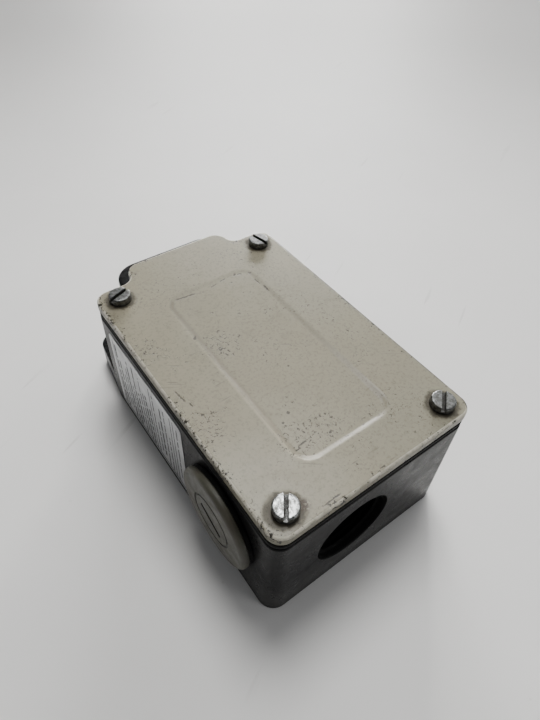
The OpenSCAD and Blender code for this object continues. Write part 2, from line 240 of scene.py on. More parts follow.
def lathe(profile, place, steps=72):
    """Turns (radius, height) points round +Z and places them; the ends on the axis are closed."""
    bm = bmesh.new()
    turns = [2 * pi * i / steps for i in range(steps)]
    rings = []
    for r, h in profile:
        if r < 1e-6:
            rings.append([bm.verts.new(place @ Vector((0, 0, h)))])
            continue
        ring = [(r * cos(a), r * sin(a), h) for a in turns]
        rings.append([bm.verts.new(place @ Vector(point)) for point in ring])
    for low, high in zip(rings, rings[1:]):
        for i in range(steps):
            j = (i + 1) % steps
            corners = []
            for ring, k in ((low, i), (low, j), (high, j), (high, i)):
                v = ring[k % len(ring)]
                if v not in corners:
                    corners.append(v)
            if len(corners) > 2:
                bm.faces.new(corners)
    return bm


def along_y(x, y, z, way=1):
    """Placement that turns +Z into +Y, or into -Y where way is -1."""
    return Matrix.Translation((x, y, z)) @ Matrix.Rotation(radians(-90 * way), 4, "X")


def side_entry(side):
    """Placement at a side entry that turns +Z outward."""
    turn = Matrix.Rotation(radians(90 * side), 4, "Y")
    return Matrix.Translation((side * HALF_W, PLUG_Y, PLUG_Z)) @ turn


def at(x, y, z, turn=0.0):
    return Matrix.Translation((x, y, z)) @ Matrix.Rotation(radians(turn), 4, "Z")


def scratch_object(bm):
    mesh = bpy.data.meshes.new("scratch")
    bmesh.ops.recalc_face_normals(bm, faces=bm.faces)
    bm.to_mesh(mesh)
    bm.free()
    return new_object("scratch", mesh)


def taken(thing):
    """Mesh of a scratch object as a bmesh; the object is deleted."""
    bm = bmesh.new()
    bm.from_mesh(thing.data)
    bpy.data.objects.remove(thing)
    return bm


def boolean(target, tool, operation="DIFFERENCE"):
    """Applies one exact boolean to a scratch object and deletes the tool."""
    modifier = target.modifiers.new("cut", "BOOLEAN")
    modifier.object = tool
    modifier.operation = operation
    modifier.solver = "EXACT"
    bpy.context.view_layer.update()
    evaluated = target.evaluated_get(bpy.context.evaluated_depsgraph_get())
    mesh = bpy.data.meshes.new_from_object(evaluated)
    target.modifiers.clear()
    target.data = mesh
    bpy.data.objects.remove(tool)


def bar_cutter(half_l, half_w, z0, z1, place):
    """Straight cutter with its length along the placement's X."""
    corners = [(-half_l, -half_w), (half_l, -half_w), (half_l, half_w), (-half_l, half_w)]
    rings = [[place @ Vector((x, y, z)) for x, y in corners] for z in (z0, z1)]
    return scratch_object(loft(rings))


def hole_cutter(place, r, depth, mouth_r=None, mouth_round=0.4, steps=64, through=False):
    """Round cutter that enters along -Z of its placement; its mouth flares to break the edge."""
    flare = [(r + inset, -drop) for inset, drop in fillet_steps(mouth_round)]
    if mouth_r:
        wall_z = (r - mouth_r) * 2.5
        profile = [(0, OVERCUT), (mouth_r + 0.3, OVERCUT), (mouth_r + 0.3, 0), (mouth_r, -0.12)]
        profile += [(r + 0.1, wall_z), (r, wall_z - 0.15)]
    else:
        profile = [(0, OVERCUT), (r + mouth_round, OVERCUT)] + flare[::-1]
    if through:
        profile += [(q, -depth - z) for q, z in flare]
        profile += [(r + mouth_round, -depth - OVERCUT), (0, -depth - OVERCUT)]
    else:
        profile += [(r, -depth), (0, -depth)]
    return scratch_object(lathe(profile, place, steps))


def drill(target, place, r, depth, **options):
    boolean(target, hole_cutter(place, r, depth, **options))


# --- Dimensions taken from the frame

house_low, house_high = box_mm("housing")
cover_low, cover_high = box_mm("cover")
END_Y = house_low.y
HALF_W = house_high.x
RIM_Z = house_high.z
COVER_Z0 = cover_low.z
COVER_Z1 = cover_high.z
plunger_low, plunger_high = box_mm("plunger")
AXIS_Z = (plunger_low.z + plunger_high.z) / 2


def y_from_end(length):
    """y of a place given by its distance from the cable end."""
    return END_Y + length


SHOULDER_Y = y_from_end(82.3)
CORNER_R = 4.2
NECK_Y, NECK_HALF, NECK_R, NECK_FILLET = y_from_end(95.6), 18, 7.5, 3
LUG_Y, LUG_H, LUG_R, LUG_CORNER_X, LUG_LEAN = y_from_end(97), 8.7, 5, 21, radians(8)
LUG_ROOT_Y = y_from_end(42)
SLOT_X, SLOT_Y, FIXING_R, SLOT_RUN = 21.8, y_from_end(89), 2.25, 0.5
PAD_HALF, PAD_TOP = 14, 28
DRAFT = 0.6
GASKET_BITE = 0.4
CASTING_TOP = RIM_Z - GASKET_BITE
WALL, FLOOR = 3.5, 3.2
PANEL_HALF, PANEL_Y0, PANEL_Y1, PANEL_R = 13.6, y_from_end(10.2), y_from_end(70.3), 5
ENTRY_X, ENTRY_Z, ENTRY_R, ENTRY_MOUTH_R, ENTRY_L, ENTRY_BOSS_R = -5, 18, 9.6, 10.4, 9.5, 12.5
plug_low, plug_high = box_mm("left_blanking_plug")
PLUG_R = (plug_high.y - plug_low.y) / 2
PLUG_Y = (plug_low.y + plug_high.y) / 2
PLUG_Z = (plug_low.z + plug_high.z) / 2
POST_ROOT = 1.6
FLOOR_X, FLOOR_Y, FLOOR_TOP, FLOOR_POST_R = 15, y_from_end(29), 5.2, 5.2
BLOCK_X, BLOCK_Y, BLOCK_TOP, BLOCK_POST_R = 13.8, y_from_end(58), 5, 3.4
BLOCK_HOLE_R, BLOCK_HOLE_L = 1.8, 3.4
EARTH_X, EARTH_Y, EARTH_TOP, EARTH_POST_R = 13, y_from_end(17), 12, 4
EARTH_HOLE_R, EARTH_HOLE_L = 2.05, 8
HEAD_X, HEAD_Z, HEAD_HOLE_R, HEAD_HOLE_L = 11, 6.5, 1.65, 8
WEB_Y, WEB_T, BUSH_R, SPINDLE_BORE_R = y_from_end(79), 2, 8, 3.3
SCREW_R, SCREW_HOLE_R, SCREW_HOLE_L, SCREW_POST_R = 1.5, 1.55, 10.6, 3.9
SCREWS = [
    (side * 21.8, y_from_end(length), turn)
    for side, length, turn in ((-1, 5.4, 53), (1, 5.4, 41), (-1, 76.3, 20), (1, 76.3, -77))
]
# Scratches and strokes of dirt on the cover: x, distance from the cable end, angle, length, width
DEEP_SCRATCHES = [
    (-24.8, 40.1, -83, 4.6, 0.45),
    (-23.9, 36.8, -80, 1.5, 0.4),
    (-13.1, 2.0, 2, 5.0, 0.35),
    (-0.1, 1.6, -4, 1.6, 0.45),
    (-12.9, 53.8, 60, 1.8, 0.7),
    (-7.4, 68.1, -6, 6.4, 0.6),
    (1.2, 67.8, 10, 2.4, 0.4),
    (4.3, 68.4, 8, 2.2, 0.35),
    (8.3, 68.5, 40, 1.2, 0.7),
    (9.5, 68.0, -20, 1.5, 0.55),
    (12.2, 66.9, 0, 1.0, 0.8),
    (11.9, 62.8, 93, 2.8, 0.4),
    (12.3, 59.2, 88, 3.2, 0.6),
    (-7.4, 23.5, 30, 0.9, 0.6),
    (-9.9, 22.0, 10, 0.7, 0.5),
    (-2.2, 18.9, 70, 0.8, 0.4),
    (-9.6, 15.6, 5, 2.6, 0.5),
    (-2.9, 14.4, 20, 1.2, 0.6),
    (27.0, 72.5, 90, 3.4, 0.45),
    (26.9, 44.0, 88, 5.5, 0.45),
    (26.9, 24.5, 91, 2.6, 0.4),
]
# Where specks gather on the cover: x, distance from the cable end
DIRTY_PLACES = [(-10, 17), (-4, 15.5), (-8.5, 48.5), (-25, 30), (-25.5, 57)]

# --- Enclosure


def housing_outline(inset):
    """Outline of the box with its neck; the neck's far face leans in half as much again."""
    neck_y = NECK_Y - 0.5 * max(inset, 0)
    return tabbed_rect(
        HALF_W, END_Y, SHOULDER_Y, CORNER_R, NECK_HALF, neck_y, NECK_R, NECK_FILLET, inset
    )


def lug_outline(inset):
    """Plate of the fixing lugs. Its sides stay just inside the box, then lean in to its corners."""
    r, corner_y = LUG_R - inset, LUG_Y - LUG_R
    edge_x = LUG_CORNER_X + r * cos(LUG_LEAN)
    edge_y = corner_y + r * sin(LUG_LEAN)
    wide_x = HALF_W - 0.1 - inset
    wide_y = edge_y - (wide_x - edge_x) / tan(LUG_LEAN)
    right = [(wide_x, LUG_ROOT_Y), (wide_x, wide_y)]
    right += arc(LUG_CORNER_X, corner_y, r, degrees(LUG_LEAN), 90)
    return right + [(-x, y) for x, y in reversed(right)]


def drafted_block(outline, z0, z1, bottom_r, top_r, draft):
    """Cast block with a round bottom edge, walls that lean in, and a round top edge."""
    rings = [at_z(outline(bottom_r + 0.3), z0)]
    for inset, drop in reversed(fillet_steps(bottom_r)):
        rings.append(at_z(outline(inset), z0 + drop))
    rings.append(at_z(outline(draft * 0.1), z1 * 0.1 + bottom_r))
    rings.append(at_z(outline(draft * 0.9), z1 * 0.9 - top_r))
    for inset, drop in fillet_steps(top_r):
        rings.append(at_z(outline(draft + inset), z1 - drop))
    rings.append(at_z(outline(draft + top_r + 0.3), z1))
    return scratch_object(loft(rings))


def cavity_cutter():
    """Cutter for the inside of the box, with a round edge at its floor."""
    rings = []
    for inset, z in ((0.8, FLOOR), (0.2, FLOOR + 0.6), (0, FLOOR + 2), (0, RIM_Z + 2)):
        outline = round_rect(HALF_W - WALL, END_Y + WALL, WEB_Y - WEB_T, 2.5, 2.5, inset)
        rings.append(at_z(outline, z))
    return scratch_object(loft(rings))


def post(x, y, r, top):
    return scratch_object(loft([at_z(circle(x, y, r), z) for z in (POST_ROOT, top)]))


def tube_boss(place, r, depth):
    """Boss inside the wall round a cable entry."""
    start, chamfer = 1.5, 0.6
    profile = [(0, -start), (r, -start), (r, -depth + chamfer), (r - chamfer, -depth), (0, -depth)]
    return scratch_object(lathe(profile, place))


def head_pad():
    """Machined pad on the neck's leaning far face, for the bush and the operating head."""
    outline = rect_outline(-PAD_HALF, PAD_HALF, LUG_H - 1, PAD_TOP, 1)
    return scratch_object(loft([[(x, y, z) for x, z in outline] for y in (NECK_Y - 3, NECK_Y)]))


def make_housing():
    """Cast box. Faces that would share a plane are kept a hair apart, for clean booleans."""
    hair = 0.02
    shell = drafted_block(housing_outline, 0, CASTING_TOP, 0.3, 0.8, DRAFT)
    boolean(shell, drafted_block(lug_outline, 1.5 * hair, LUG_H, 0.3, 0.7, 0.15), "UNION")
    boolean(shell, head_pad(), "UNION")
    boolean(shell, cavity_cutter())
    entry = along_y(ENTRY_X, END_Y, ENTRY_Z, -1)
    side_entries = [side_entry(side) for side in (-1, 1)]
    for i, place in enumerate(side_entries + [entry]):
        boolean(shell, tube_boss(place, ENTRY_BOSS_R - hair * i, ENTRY_L + hair * i), "UNION")
    for x, y, _ in SCREWS:
        boolean(shell, post(x, y, SCREW_POST_R, CASTING_TOP - hair), "UNION")
    for side in (-1, 1):
        boolean(shell, post(side * BLOCK_X, BLOCK_Y, BLOCK_POST_R, BLOCK_TOP), "UNION")
        boolean(shell, post(side * FLOOR_X, FLOOR_Y, FLOOR_POST_R, FLOOR_TOP), "UNION")
    boolean(shell, post(EARTH_X, EARTH_Y, EARTH_POST_R, EARTH_TOP), "UNION")

    drill(shell, entry, ENTRY_R, ENTRY_L + 1, mouth_r=ENTRY_MOUTH_R)
    for place in side_entries:
        drill(shell, place, ENTRY_R, ENTRY_L + 1, mouth_round=0.3)
    for side in (-1, 1):
        floor_hole = at(side * FLOOR_X, FLOOR_Y, FLOOR_TOP)
        drill(shell, floor_hole, FIXING_R, FLOOR_TOP, mouth_round=0.25, steps=36, through=True)
        boolean(shell, slot_cutter(side * SLOT_X, SLOT_Y))
        for z in (AXIS_Z - HEAD_Z, AXIS_Z + HEAD_Z):
            tapped = along_y(side * HEAD_X, NECK_Y, z)
            drill(shell, tapped, HEAD_HOLE_R, HEAD_HOLE_L, mouth_round=0.3, steps=32)
        tapped = at(side * BLOCK_X, BLOCK_Y, BLOCK_TOP)
        drill(shell, tapped, BLOCK_HOLE_R, BLOCK_HOLE_L, mouth_round=0.2, steps=24)
    drill(shell, along_y(0, NECK_Y, AXIS_Z), BUSH_R, NECK_Y - WEB_Y, mouth_round=0.2)
    web = along_y(0, WEB_Y + hair, AXIS_Z)
    drill(shell, web, SPINDLE_BORE_R, WEB_T + 2, mouth_round=0.2, steps=36)
    for x, y, _ in SCREWS:
        drill(shell, at(x, y, RIM_Z), SCREW_HOLE_R, SCREW_HOLE_L, mouth_round=0.2, steps=32)
    tapped = at(EARTH_X, EARTH_Y, EARTH_TOP)
    drill(shell, tapped, EARTH_HOLE_R, EARTH_HOLE_L, mouth_round=0.2, steps=32)

    piece = finish_mesh(taken(shell), "housing_casting", ["housing"])
    return even_normals(piece)


def slot_cutter(x, y):
    """Long hole across the width through a lug, with broken edges at the top and the bottom."""
    round_r, edge = 0.3, fillet_steps(0.3)

    def ring(grow, z):
        r = FIXING_R + grow
        points = arc(x + SLOT_RUN, y, r, -90, 90, 14) + arc(x - SLOT_RUN, y, r, 90, 270, 14)
        return at_z(points, z)

    rings = [ring(round_r, -OVERCUT)] + [ring(inset, drop) for inset, drop in edge[::-1]]
    rings += [ring(inset, LUG_H - drop) for inset, drop in edge] + [ring(round_r, LUG_H + OVERCUT)]
    return scratch_object(loft(rings))


def cover_outline(inset):
    near, far, tab = y_from_end(0.6), y_from_end(81.5), y_from_end(87.9)
    return tabbed_rect(27.4, near, far, 3.7, 15.6, tab, 4, 3, inset)


def panel_outline(inset):
    """Outline of the sunken panel, with points all along its straight sides."""
    corners = round_rect(PANEL_HALF, PANEL_Y0, PANEL_Y1, PANEL_R, PANEL_R, inset)
    points = []
    for (ax, ay), (bx, by) in zip(corners, corners[1:] + corners[:1]):
        steps = 16 if hypot(bx - ax, by - ay) > 8 else 1
        points += [(ax + (bx - ax) * i / steps, ay + (by - ay) * i / steps) for i in range(steps)]
    return points


def edge_distance(x, y, outline):
    """Distance from a point to a closed outline."""
    point, best = Vector((x, y)), 1e9
    for a, b in zip(outline, outline[1:] + outline[:1]):
        a, along = Vector(a), Vector(b) - Vector(a)
        share = (point - a).dot(along) / max(along.length_squared, 1e-12)
        best = min(best, (point - a - along * min(max(share, 0), 1)).length)
    return best


def panel_place(x, y):
    """Shares from 0 to 1 across the sunken panel, towards its near edge and its left edge."""
    return (PANEL_Y1 - y) / (PANEL_Y1 - PANEL_Y0), 0.5 - x / (2 * PANEL_HALF)


def sunken_ring(inset, share):
    """Panel outline lowered by a share of the panel's depth, deepest at its near left corner."""
    points = []
    for x, y in panel_outline(inset):
        near, left = panel_place(x, y)
        depth = 0.07 + 0.90 * near * near * (0.45 + 0.55 * left)
        points.append((x, y, COVER_Z1 - share * depth))
    return points


def make_cover():
    """Cover plate with a round top edge, a sunken panel with sloping sides, and four screw holes.

    Its vertices carry three maps for the paint: wear grows towards the rim, crown marks the round
    of the rim (positive where worn pale and lightened by a painted highlight, negative where
    dirty), and slope follows the panel's sides (positive where painted shade with grime darkens
    them, negative where a painted highlight lightens them).
    """
    bm = bmesh.new()
    wear, crown, slope = (bm.verts.layers.float.new(name) for name in ("wear", "crown", "slope"))
    top_r, under_r, slope_w, hole_r = 0.6, 1.0, 2.0, 1.7

    side = [at_z(cover_outline(under_r + 0.1), COVER_Z0)]
    side += [at_z(cover_outline(i), COVER_Z0 + d) for i, d in reversed(fillet_steps(under_r, 5))]
    side += [at_z(cover_outline(i), COVER_Z1 - d) for i, d in fillet_steps(top_r, 7)]
    side.append(at_z(cover_outline(top_r + 0.2), COVER_Z1))
    side = skin(bm, side)

    steps = 14
    panel = [sunken_ring(-0.3, 0)]
    for i in range(steps + 1):
        t = i / steps
        panel.append(sunken_ring(slope_w * t, 3 * t * t - 2 * t * t * t))
    panel.append(sunken_ring(slope_w + 0.4, 1))
    panel = skin(bm, panel)
    # Slope map: a dark band of painted shade with grime along the panel's sides, and on the outer
    # rings of the left side a pale painted highlight that grows towards the near end
    pale_steps, left_side_x = 4, -11
    for i, ring in enumerate(panel[1:-1]):
        for v in ring:
            near, _ = panel_place(v.co.x, v.co.y)
            if v.co.x > left_side_x:
                v[slope] = 0.6 * sin(pi * i / steps)
            elif i < pale_steps:
                v[slope] = -near
            else:
                v[slope] = (2.0 - 0.7 * near) * sin(pi * (i - 3) / (steps - 2))
    bm.faces.new(panel[-1])

    outlines = [circle(x, y, hole_r, 32) for x, y, _ in SCREWS]
    holes = [skin(bm, [at_z(ring, z) for z in (COVER_Z0, COVER_Z1)]) for ring in outlines]
    fill_between(bm, [side[0]] + [bottom for bottom, _ in holes])
    fill_between(bm, [side[-1], panel[0]] + [top for _, top in holes])
    cut_into_tiles(bm, COVER_Z1, 1.5)

    rim = cover_outline(0)
    worn_w, right_edge_x = 4.0, 26
    for v in bm.verts:
        near = max(0.0, 1 - edge_distance(v.co.x, v.co.y, rim) / worn_w)
        v[wear] = near * (1.0 if v.co.x < 0 else 0.85)
        on_round = COVER_Z1 - 0.8 * top_r < v.co.z < COVER_Z1 - 0.01 and near > 0.8
        v[crown] = 0.0 if not on_round else -1.0 if v.co.x > right_edge_x else 1.0
    piece = finish_mesh(bm, "cover_plate", ["cover"])
    return even_normals(piece)


def cut_into_tiles(bm, z, size):
    """Cuts the flat faces at height z into small tiles, so that they can hold a wear map."""
    for axis, reach in ((0, 30), (1, 54)):
        normal = Vector((axis == 0, axis == 1, 0))
        place = -reach
        while place < reach:
            faces = [f for f in bm.faces if all(abs(v.co.z - z) < 1e-4 for v in f.verts)]
            geometry = faces + list({e for f in faces for e in f.edges})
            geometry += list({v for f in faces for v in f.verts})
            bmesh.ops.bisect_plane(
                bm, geom=geometry, dist=1e-4, plane_co=normal * place, plane_no=normal
            )
            place += size


def make_gasket():
    """Rubber gasket whose squeezed lip shows as a thick dark line under the cover."""
    low, high = box_mm("cover_gasket")
    bottom_z = low.z - GASKET_BITE
    middle, half, steps = (bottom_z + high.z) / 2, (high.z - bottom_z) / 2, 6
    inside = round_rect(24.2, y_from_end(4.2), y_from_end(76), 2.5, 2.5)
    bm = bmesh.new()
    rings = []
    for i in range(steps + 1):
        a = pi * (i / steps - 0.5)
        rings.append(at_z(cover_outline(0.4 - 0.35 * cos(a)), middle + half * sin(a)))
    lip = skin(bm, rings)
    openings = [inside] + [circle(x, y, 2.0, 24) for x, y, _ in SCREWS]
    holes = [skin(bm, [at_z(ring, z) for z in (bottom_z, high.z)]) for ring in openings]
    fill_between(bm, [lip[0]] + [bottom for bottom, _ in holes])
    fill_between(bm, [lip[-1]] + [top for _, top in holes])
    return finish_mesh(bm, "gasket_lip", ["cover_gasket"], sharp=50)


def make_screws():
    """Four slotted cheese heads, each with a small round at the top of its head."""
    low, high = box_mm("cover_screws")
    seat, top, r, shank = COVER_Z1, high.z, 2.8, SCREW_R - 0.02
    profile = [(0, low.z), (shank - 0.38, low.z), (shank, low.z + 0.4), (shank, seat - 0.02)]
    profile += [(r - 0.12, seat), (r, seat + 0.12), (r, top - 0.42)]
    profile += [(r - inset, top - drop) for inset, drop in fillet_steps(0.4)[1:]]
    profile += [(r - 0.8, top), (0.5, top), (0, top)]
    pieces = []
    for i, (x, y, turn) in enumerate(SCREWS):
        place = at(x, y, 0, turn)
        head = scratch_object(lathe(profile, place, 64))
        boolean(head, bar_cutter(5, 0.5, top - 1.0, top + 1, place))
        replaced = ["cover_screws"] if i == 0 else []
        piece = finish_mesh(taken(head), f"cover_screw_{i + 1}", replaced, 30)
        bevel_edges(piece, 0.07)
        pieces.append(piece)
    return pieces


def bevel_edges(piece, width):
    modifier = piece.modifiers.new("broken_edges", "BEVEL")
    modifier.width = width * MM
    modifier.segments = 2
    modifier.limit_method = "ANGLE"
    modifier.angle_limit = radians(40)
    modifier.harden_normals = True
    modifier.use_clamp_overlap = True


def make_plug(side):
    """Blanking plug with a crowned rim, a moulded ring and a short straight groove."""
    name = "left" if side < 0 else "right"
    low, high = box_mm(name + "_blanking_plug")
    seal_low, seal_high = box_mm(name + "_plug_seal")
    face = (high.x if side > 0 else -low.x) - HALF_W
    seal = (seal_high.x if side > 0 else -seal_low.x) - HALF_W
    place = side_entry(side)
    shank, hollow, end, ring_r, edge = 9.5, 7, -8, 6.7, 1.25
    rim = fillet_steps(edge - 0.06, 8)[1:]
    profile = [(0, -1.0), (hollow, -1.0), (hollow, end), (shank - 0.5, end), (shank, end + 0.5)]
    profile += [(shank, seal - 0.1), (PLUG_R - 0.25, seal), (PLUG_R, seal + 0.25)]
    profile += [(PLUG_R, face - edge - 0.05)]
    profile += [(PLUG_R - inset, face - 0.06 - drop) for inset, drop in rim]
    profile += [(PLUG_R - 2.6, face - 0.02)]
    ring = ((0.6, 0.01), (0.36, 0.06), (0.2, 0.4))
    profile += [(ring_r + offset, face - drop) for offset, drop in ring]
    profile += [(ring_r - offset, face - drop) for offset, drop in reversed(ring)]
    profile += [(5.2, face), (3, face), (0, face)]
    head = scratch_object(lathe(profile, place, 96))
    groove = place @ Matrix.Rotation(radians(62), 4, "Z")
    boolean(head, bar_cutter(4.3, 0.7, face - 0.8, face + 1, groove))
    replaced = [name + "_blanking_plug"]
    piece = finish_mesh(taken(head), name + "_plug_moulding", replaced, 32)
    return even_normals(piece)


def make_plug_seal(side):
    name = "left" if side < 0 else "right"
    low, high = box_mm(name + "_plug_seal")
    thick = high.x - low.x
    place = side_entry(side)
    outer, inner, start = PLUG_R - 0.2, ENTRY_R, -DRAFT * 0.55
    profile = [(inner, start), (outer, start)]
    profile += [(outer - inset, thick - drop) for inset, drop in fillet_steps(0.25, 4)]
    bm = lathe(profile + [(inner, thick), (inner, start)], place, 96)
    return finish_mesh(bm, name + "_plug_ring", [name + "_plug_seal"])


def make_label():
    """Foil label that follows the leaning side wall, with rules and bars in place of its print."""
    low, high = box_mm("rating_label")
    corner_r, thick, print_t, margin = 1.5, 0.18, 0.03, 1.2
    lean = DRAFT / RIM_Z

    def lifted(outline, lift):
        return [(-HALF_W + lean * z - lift, y, z) for y, z in outline]

    outline = rect_outline(low.y, high.y, low.z, high.z, corner_r)
    inner = rect_outline(low.y + 0.1, high.y - 0.1, low.z + 0.1, high.z - 0.1, corner_r)
    bm = loft([lifted(outline, -0.05), lifted(outline, thick - 0.06), lifted(inner, thick)])
    foil = finish_mesh(bm, "label_foil", ["rating_label"])

    bm = bmesh.new()

    def bar(y0, y1, z0, z1):
        corners = [(y0, z0), (y1, z0), (y1, z1), (y0, z1)]
        loft([lifted(corners, lift) for lift in (thick - 0.02, thick + print_t)], bm)

    draw_print(bar, low.y + margin, high.y - margin, low.z + margin, high.z - margin)
    marks = finish_mesh(bm, "label_print")
    return foil, marks


def rect_outline(a0, a1, b0, b1, r):
    """Rectangle in any plane with round corners."""
    a0, a1, b0, b1 = a0 + r, a1 - r, b0 + r, b1 - r
    points = []
    for i, (a, b) in enumerate(((a1, b0), (a1, b1), (a0, b1), (a0, b0))):
        points += arc(a, b, r, 90 * (i - 1), 90 * i, 5)
    return points


def draw_print(bar, y0, y1, z0, z1):
    """Generic label print: long rules and rows of plain bars. It holds no lettering."""
    rule = 0.28
    for y in (y0 + 2.6, y0 + 4.0, y0 + 14.6, y1 - 0.9):
        bar(y, y + rule, z0, z1)
    bar(y0, y1, z0, z0 + rule)
    rng = random.Random(7)
    fields = ((y0 + 5.4, y0 + 14.0, 1.9), (y0 + 15.8, y1 - 2.0, 1.6), (y0 + 0.8, y0 + 2.0, 2.0))
    for start, end, pitch in fields:
        row = start
        while row < end:
            width = rng.choice((0.4, 0.45, 0.7))
            z = z0 + rng.choice((1.0, 1.0, 3.5))
            last = z1 - rng.choice((1.2, 2.0, 6.0, 10.0))
            while z < last:
                length = rng.uniform(1.6, 6.0)
                bar(row, row + width, z, min(z + length, last))
                z += length + rng.uniform(0.5, 1.0)
            row += pitch


def make_thread():
    """Internal thread of the open cable entry, as one helical ridge that fades in and out."""
    pitch, steps, root, crest, fade_steps = 1.5, 60, -0.15, 0.55, 12
    start, end = ENTRY_MOUTH_R - ENTRY_R + 0.4, ENTRY_L - 0.3
    total = int((end - start) / pitch * steps)
    rows = []
    for i in range(total + 1):
        a = 2 * pi * i / steps
        depth = start + pitch * i / steps
        height = crest * min(1.0, i / fade_steps, (total - i) / fade_steps)
        row = []
        for offset, rise in ((-0.62, root), (-0.12, height), (0.12, height), (0.62, root)):
            r, y = ENTRY_R - rise, END_Y + depth + offset
            row.append((ENTRY_X + r * cos(a), y, ENTRY_Z + r * sin(a)))
        rows.append(row)
    bm = loft(rows)
    return finish_mesh(bm, "entry_thread", sharp=50)


# --- Actuator


def make_plunger():
    low, high = plunger_low, plunger_high
    tip = high.y - low.y
    r, collar_r, collar_t, spindle_r, dome = 4.5, 6.4, 2, 3.0, 9.0
    edge = dome - sqrt(dome * dome - (r - 0.4) ** 2)
    collar = y_from_end(87.1) - low.y
    profile = [(0, 0), (spindle_r - 0.4, 0), (spindle_r, 0.4), (spindle_r, collar - 0.2)]
    profile += [(spindle_r + 0.2, collar), (collar_r - 0.25, collar), (collar_r, collar + 0.25)]
    profile += [(collar_r, collar + collar_t - 0.25), (collar_r - 0.25, collar + collar_t)]
    profile += [(r + 0.2, collar + collar_t), (r, collar + collar_t + 0.2)]
    profile += [(r, tip - edge - 0.45), (r - 0.1, tip - edge - 0.15)]
    steps = 10
    for i in range(steps + 1):
        q = (r - 0.4) * (1 - i / steps)
        profile.append((q, tip - dome + sqrt(dome * dome - q * q)))
    bm = lathe(profile, along_y(0, low.y, AXIS_Z))
    return finish_mesh(bm, "plunger_pin", ["plunger"], 30, "plunger")


def make_bush():
    low, high = box_mm("plunger_bush")
    length, flange_r = high.y - low.y, (high.x - low.x) / 2
    bore, outer, flange_t = 4.56, 7.94, 1.5
    neck = length - flange_t
    groove, groove_r = y_from_end(93) - low.y, 6.3
    profile = [(bore + 0.3, 0), (outer - 0.3, 0), (outer, 0.3), (outer, neck)]
    profile += [(flange_r, neck), (flange_r, length - 0.35), (flange_r - 0.35, length)]
    profile += [(7.2, length), (7.05, length - 0.2), (6.75, length - 0.2), (6.6, length)]
    profile += [(bore + 0.45, length), (bore, length - 0.45), (bore, groove + 1)]
    profile += [(groove_r, groove + 1), (groove_r, groove - 1), (bore, groove - 1)]
    profile += [(bore, 0.3), (bore + 0.3, 0)]
    bm = lathe(profile, along_y(0, low.y, AXIS_Z))
    return finish_mesh(bm, "plunger_guide", ["plunger_bush"], sharp=30)


def make_spring(name, node, body, joint, travel, wire, turns, anchor_at):
    """Round-wire spring with closed ends."""
    low, high = box_mm(node)
    r = (high.x - low.x) / 2 - wire
    length = high.y - low.y
    sides, steps, end_rise = 10, 36, 0.06
    rows = []
    for i in range(int((turns + 1) * steps) + 1):
        t = i / steps
        climb = min(max(t - 0.5, 0), turns) / turns
        share = end_rise * min(t, 1) + (1 - end_rise) * climb if t < turns + 0.5 else 1.0
        rise = min(wire + (length - 2 * wire) * share, length - wire)
        a = 2 * pi * t
        ring = []
        for j in range(sides):
            b = 2 * pi * j / sides
            q, y = r + wire * cos(b), low.y + rise + wire * sin(b)
            ring.append((q * cos(a), y, AXIS_Z + q * sin(a)))
        rows.append(ring)
    piece = finish_mesh(loft(rows), name, [node], 60, body)
    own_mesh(piece)
    return piece


# --- Softened copies of CAD nodes


def softened(node, body, width):
    """A copy of a CAD node with its edges broken, for moulded and stamped pieces."""
    bm = bmesh.new()
    bm.from_mesh(nodes[node].data)
    bmesh.ops.remove_doubles(bm, verts=bm.verts, dist=0.002 * MM)
    bmesh.ops.dissolve_limit(
        bm, angle_limit=radians(1), verts=bm.verts, edges=bm.edges, delimit={"NORMAL"}
    )
    piece = add_piece(bm, node + "_soft", [node], 30, body)
    bevel_edges(piece, width)
    return piece


# --- Material graphs


